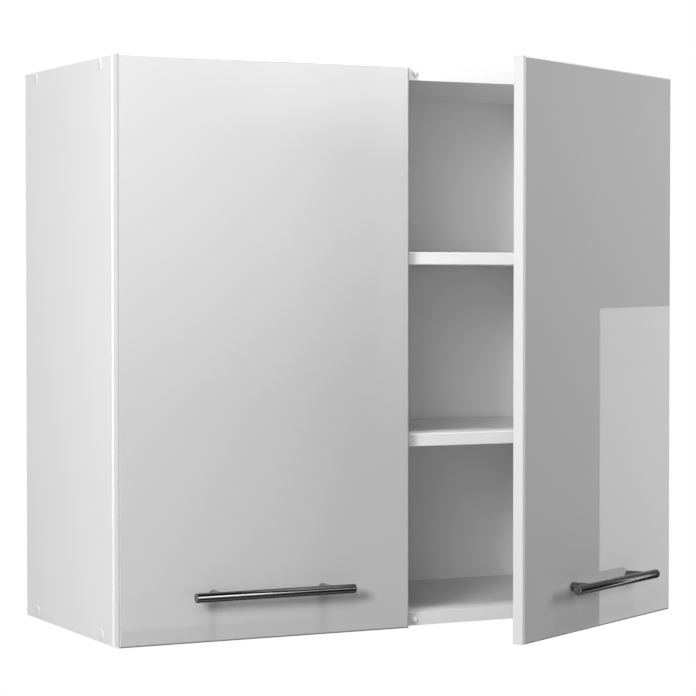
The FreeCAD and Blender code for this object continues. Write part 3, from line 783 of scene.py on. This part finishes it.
# A pressed or moulded part: the node's own shape, merged, with its sharp arrises rounded.
def softened(name, node, material, width=softEdges["width"]):
    mesh = nodes[node].data.copy()
    work = bmesh.new()
    work.from_mesh(mesh)
    bmesh.ops.remove_doubles(work, verts=work.verts, dist=2e-6)
    bmesh.ops.dissolve_limit(work, angle_limit=math.radians(0.5), verts=work.verts, edges=work.edges)
    bmesh.ops.recalc_face_normals(work, faces=work.faces)
    work.to_mesh(mesh)
    work.free()
    mesh.materials.clear()
    piece = finishPiece(name, mesh, bodyOf(node), material, [node], softEdges["angle"])
    bevel = piece.modifiers.new("softArrises", "BEVEL")
    bevel.width = width
    bevel.segments = softEdges["segments"]
    bevel.limit_method = "ANGLE"
    bevel.angle_limit = math.radians(softEdges["angle"])
    bevel.harden_normals = True
    return piece


sides = ("left", "right")
barSteel = {side: metalMaterial("handleSteel." + side, "handle", side + "_door") for side in sides}
capPlastic = plasticMaterial("capPlastic", "cap")
for side in sides:
    handleBar(side, barSteel[side])
    handlePosts(side, barSteel[side])
    screwCaps(side, capPlastic)
    for kind in screws:
        screwSet(kind, side, zinc)
    softened("hingeArms." + side, "hinge_arms_" + side, nickel)
    softened("hingePlates." + side, "hinge_plates_" + side, nickel)
    softened("hingeCups." + side, "hinge_cups_" + side, nickel)
    softened("hangerHousing." + side, "hanger_housing_" + side, hangerPlastic,
             softEdges["plasticWidth"])
    softened("hangerHook." + side, "hanger_hook_" + side, zinc)
for place in ("lower", "upper"):
    softened("shelfSupports." + place, "shelf_supports_" + place, zinc)
doorBumpers(bumperMaterial("clearBumper"))
print("handles, caps, screws, hinges, hangers, supports and bumpers made")


# Camera at the photograph's viewpoint: yaw is to the right of +Y and pitch is above the level
viewpoint = {
    "place": (-1.44895, -3.07898, 0.44274), "yaw": 26.39, "pitch": -1.53, "lens": 125.16, "sensor": 36.0,
}


def makeCamera():
    data = bpy.data.cameras.new("camera")
    data.lens = viewpoint["lens"]
    data.sensor_width = viewpoint["sensor"]
    camera = bpy.data.objects.new("camera", data)
    camera.location = viewpoint["place"]
    camera.rotation_euler = (math.radians(90 + viewpoint["pitch"]), 0.0, math.radians(-viewpoint["yaw"]))
    bpy.context.scene.collection.objects.link(camera)
    bpy.context.scene.camera = camera


studio = {
    "floorHeight": -0.50, "floorHalf": 30.0, "floorColour": 0.30,
    "nearGlow": 0.80, "nearReach": 0.5, "farReach": 1.6, "ambient": 0.04,
}
middleOfFront = (0.0, -0.25, 0.4)
# Steep stands high over the doors, so that only the front strips of the boards inside meet its light
lamps = {
    "left": {"place": (-2.4, -2.3, 1.1), "aim": middleOfFront, "size": (0.7, 0.7), "watts": 65.0},
    "front": {"place": (-1.6, -2.3, 1.1), "aim": middleOfFront, "size": (0.7, 0.7), "watts": 4.5},
    "near": {"place": (-0.7, -1.3, 0.9), "aim": middleOfFront, "size": (0.6, 0.6), "watts": 3.2},
    "low": {"place": (-1.6, -3.3, 0.4), "aim": middleOfFront, "size": (0.7, 0.7), "watts": 5.2},
    "side": {"place": (-2.0, -0.3, 1.4), "aim": middleOfFront, "size": (0.7, 0.7), "watts": 3.0},
    "top": {"place": (1.6, -1.3, 2.6), "aim": middleOfFront, "size": (0.7, 0.7), "watts": 12.0},
    "steep": {"place": (-0.2, -0.84, 3.0), "aim": (0.0, -0.30, 0.4), "size": (0.7, 0.8), "watts": 52.0},
    "right": {"place": (1.3, -1.0, 0.55), "aim": middleOfFront, "size": (0.6, 0.6), "watts": 7.6},
    "rear": {"place": (0.0, 2.6, 0.9), "aim": (0.0, 0.0, 0.36), "size": (1.4, 1.4), "watts": 40.0},
    "rearRight": {"place": (2.4, 1.2, 0.8), "aim": (0.4, -0.16, 0.36), "size": (0.9, 0.9), "watts": 22.0},
}
# Cards that only gloss and metal show: dark solid flags, and bright cards whose glows add up. Each has
# a corner, two sides, a level and how far it fades in from the start and end of each side. The three
# slits stand close behind the open right door's free edge, where the left door mirrors them.
cards = {
    "flagRight": {"corner": (2.4, -3.62, -0.49), "along": (0, 6, 0), "up": (0, 0, 3.6),
                  "level": 0.04, "solid": True},
    "flagFront": {"corner": (-1.0, -3.62, -0.49), "along": (3.4, 0, 0), "up": (0, 0, 3.6),
                  "level": 0.04, "solid": True},
    "flagTop": {"corner": (-1.0, -3.62, 3.1), "along": (3.4, 0, 0), "up": (0, 4.4, 0),
                "level": 0.04, "solid": True},
    "flagLow": {"corner": (-1.0, -3.62, -0.49), "along": (3.4, 0, 0), "up": (0, 4.4, 0),
                "level": 0.04, "solid": True},
    "cardWide": {"corner": (-0.6, -3.61, 0.10), "along": (3.0, 0, 0), "up": (0, 0, 0.95),
                 "level": 2.95, "fadeUp": (0.95, 0.0), "evenFade": True},
    "cardLeft": {"corner": (-0.6, -3.60, -0.48), "along": (2.16, 0, 0), "up": (0, 0, 1.53),
                 "level": 1.0, "fadeAlong": (0.3, 0.28)},
    "cardTop": {"corner": (0.95, -3.59, 0.80), "along": (1.44, 0, 0), "up": (0, 0, 0.25),
                "level": 2.5, "fadeAlong": (0.60, 0.0), "fadeUp": (0.20, 0.0)},
    "cardHigh": {"corner": (0.50, -3.60, 1.06), "along": (0.92, 0, 0), "up": (0, 0, 1.2),
                 "level": 6.5, "fadeAlong": (0.05, 0.20), "fadeUp": (0.0, 0.30)},
    "cardLow": {"corner": (-0.6, -0.95, -0.485), "along": (1.1, 0, 0), "up": (0, 0.55, 0),
                "level": 0.34, "fadeAlong": (0.1, 0.3), "fadeUp": (0.1, 0.1)},
    "cardBack": {"corner": (2.39, -1.2, 0.30), "along": (0, 3.2, 0), "up": (0, 0, 2.6),
                 "level": 0.22, "fadeUp": (0.6, 0.02)},
    "slitBase": {"corner": (0.0460, -0.5148, -0.02), "along": (0.0452, 0.0258, 0), "up": (0, 0, 0.80),
                 "level": 0.12, "solid": True},
    "slitWide": {"corner": (0.0455, -0.5139, 0.23), "along": (0.0452, 0.0258, 0), "up": (0, 0, 0.55),
                 "level": 1.85, "fadeUp": (0.27, 0.0), "evenFade": True},
    "slitTop": {"corner": (0.0450, -0.5130, 0.57), "along": (0.0452, 0.0258, 0), "up": (0, 0, 0.21),
                "level": 4.8, "fadeUp": (0.20, 0.0)},
    "cardBar": {"corner": (0.21, -0.25, 1.0), "along": (0.40, 0, 0), "up": (0.26, -1.40, 0),
                "level": 1.15, "fadeUp": (0.0, 1.4), "evenFade": True},
    "cardUnder": {"corner": (0.70, -0.90, -0.487), "along": (1.6, 0, 0), "up": (0, 0.85, 0),
                  "level": 0.26, "fadeAlong": (0.2, 0.2), "fadeUp": (0.1, 0.1)},
    "cardRight": {"corner": (1.24, -0.4035, -0.48), "along": (0.76, 0.24, 0), "up": (0, 0, 0.88),
                  "level": 1.45},
}


# A share of one for rays from the camera, from gloss and through clear plastic, and nothing for the rest.
def seenShare(tree):
    path = tree.nodes.new("ShaderNodeLightPath").outputs
    seen = maths(tree, "MAXIMUM", path["Is Camera Ray"], path["Is Glossy Ray"])
    return maths(tree, "MAXIMUM", seen, path["Is Transmission Ray"])


def makeWorld():
    world = bpy.data.worlds.new("studio")
    world.use_nodes = True
    tree = world.node_tree
    tree.nodes.clear()
    dim = addNode(tree, "ShaderNodeBackground", Color=grey(1.0), Strength=studio["ambient"])
    white = addNode(tree, "ShaderNodeBackground", Color=grey(1.0), Strength=1.0)
    mix = tree.nodes.new("ShaderNodeMixShader")
    connect(tree, seenShare(tree), mix.inputs[0])
    tree.links.new(dim.outputs[0], mix.inputs[1])
    tree.links.new(white.outputs[0], mix.inputs[2])
    tree.links.new(mix.outputs[0], tree.nodes.new("ShaderNodeOutputWorld").inputs[0])
    bpy.context.scene.world = world


# Floor: one level square, whose material is pale paint with a white glow for the rays that show it.
# Under the cabinet the glow gives way to the paint, which holds the cabinet's shadow. Seen from below
# the floor is clear, so that it never hides the cabinet's underside.
def makeFloor():
    half, z = studio["floorHalf"], studio["floorHeight"]
    mesh = bpy.data.meshes.new("floor")
    corners = [(-half, -half, z), (half, -half, z), (half, half, z), (-half, half, z)]
    mesh.from_pydata(corners, [], [(0, 1, 2, 3)])
    material = bpy.data.materials.new("floorPaint")
    material.use_nodes = True
    tree = material.node_tree
    tree.nodes.clear()
    place = tree.nodes.new("ShaderNodeTexCoord").outputs["Object"]
    reach = tree.nodes.new("ShaderNodeVectorMath")
    reach.operation = "LENGTH"
    connect(tree, vectorMaths(tree, "MULTIPLY", place, (1.0, 1.0, 0.0)), reach.inputs[0])
    glowShare = remap(tree, reach.outputs["Value"], studio["nearReach"], studio["farReach"],
                      studio["nearGlow"], 1.0, smooth=True)
    paint = addNode(tree, "ShaderNodeBsdfDiffuse", Color=grey(studio["floorColour"]))
    glow = addNode(tree, "ShaderNodeEmission", Color=grey(1.0), Strength=1.0)
    mix = tree.nodes.new("ShaderNodeMixShader")
    connect(tree, maths(tree, "MULTIPLY", seenShare(tree), glowShare), mix.inputs[0])
    tree.links.new(paint.outputs[0], mix.inputs[1])
    tree.links.new(glow.outputs[0], mix.inputs[2])
    below = tree.nodes.new("ShaderNodeNewGeometry").outputs["Backfacing"]
    clear = addNode(tree, "ShaderNodeBsdfTransparent", Color=grey(1.0))
    oneSided = tree.nodes.new("ShaderNodeMixShader")
    connect(tree, below, oneSided.inputs[0])
    tree.links.new(mix.outputs[0], oneSided.inputs[1])
    tree.links.new(clear.outputs[0], oneSided.inputs[2])
    tree.links.new(oneSided.outputs[0], tree.nodes.new("ShaderNodeOutputMaterial").inputs[0])
    mesh.materials.append(material)
    floor = bpy.data.objects.new("floor", mesh)
    bpy.context.scene.collection.objects.link(floor)


# How far a card has faded in at a distance along one of its sides.
def fade(tree, along, length, start, end, smooth):
    least = 0.1 * mm  # a side without a fade starts or ends within this length
    rise = remap(tree, along, 0.0, max(start, least), 0.0, 1.0, smooth)
    fall = remap(tree, along, length - max(end, least), length, 1.0, 0.0, smooth)
    return maths(tree, "MULTIPLY", rise, fall)


# A card: four corners with a plain glow that only glossy rays meet. All but the solid ones are clear too,
# so that the glows of cards behind one another add up.
def makeCard(name, values):
    corner, along, up = (np.array(values[key], dtype=float) for key in ("corner", "along", "up"))
    mesh = bpy.data.meshes.new(name)
    corners = [tuple(point) for point in (corner, corner + along, corner + along + up, corner + up)]
    mesh.from_pydata(corners, [], [(0, 1, 2, 3)])
    material = bpy.data.materials.new(name)
    material.use_nodes = True
    tree = material.node_tree
    tree.nodes.clear()
    strength = values["level"]
    for side, key in ((along, "fadeAlong"), (up, "fadeUp")):
        if key in values:
            length = float(np.linalg.norm(side))
            place = tree.nodes.new("ShaderNodeTexCoord").outputs["Object"]
            fromCorner = vectorMaths(tree, "SUBTRACT", place, tuple(corner))
            dot = tree.nodes.new("ShaderNodeVectorMath")
            dot.operation = "DOT_PRODUCT"
            connect(tree, fromCorner, dot.inputs[0])
            connect(tree, tuple(side / length), dot.inputs[1])
            share = fade(tree, dot.outputs["Value"], length, *values[key], "evenFade" not in values)
            strength = maths(tree, "MULTIPLY", share, strength)
    glow = addNode(tree, "ShaderNodeEmission", Color=grey(1.0), Strength=strength).outputs[0]
    if "solid" not in values:
        clear = addNode(tree, "ShaderNodeBsdfTransparent", Color=grey(1.0))
        both = tree.nodes.new("ShaderNodeAddShader")
        tree.links.new(glow, both.inputs[0])
        tree.links.new(clear.outputs[0], both.inputs[1])
        glow = both.outputs[0]
    tree.links.new(glow, tree.nodes.new("ShaderNodeOutputMaterial").inputs[0])
    material.cycles.emission_sampling = "NONE"
    mesh.materials.append(material)
    card = bpy.data.objects.new(name, mesh)
    card.visible_camera = False
    card.visible_diffuse = False
    card.visible_transmission = False
    card.visible_shadow = False
    bpy.context.scene.collection.objects.link(card)


# An area lamp at a place, turned so that its own -z axis points at its aim.
def makeLamp(name, values):
    data = bpy.data.lights.new(name, "AREA")
    data.shape = "RECTANGLE"
    data.size, data.size_y = values["size"]
    data.energy = values["watts"]
    lamp = bpy.data.objects.new(name, data)
    place = np.array(values["place"])
    away = place - np.array(values["aim"])
    away /= np.linalg.norm(away)
    lamp.location = values["place"]
    lamp.rotation_euler = (math.acos(away[2]), 0.0, math.atan2(away[0], -away[1]))
    lamp.visible_glossy = False
    bpy.context.scene.collection.objects.link(lamp)


makeCamera()
makeWorld()
makeFloor()
for name, values in cards.items():
    makeCard(name, values)
for name, values in lamps.items():
    makeLamp(name, values)
bpy.context.scene.view_settings.view_transform = "Standard"
print("camera, lamps and floor set")
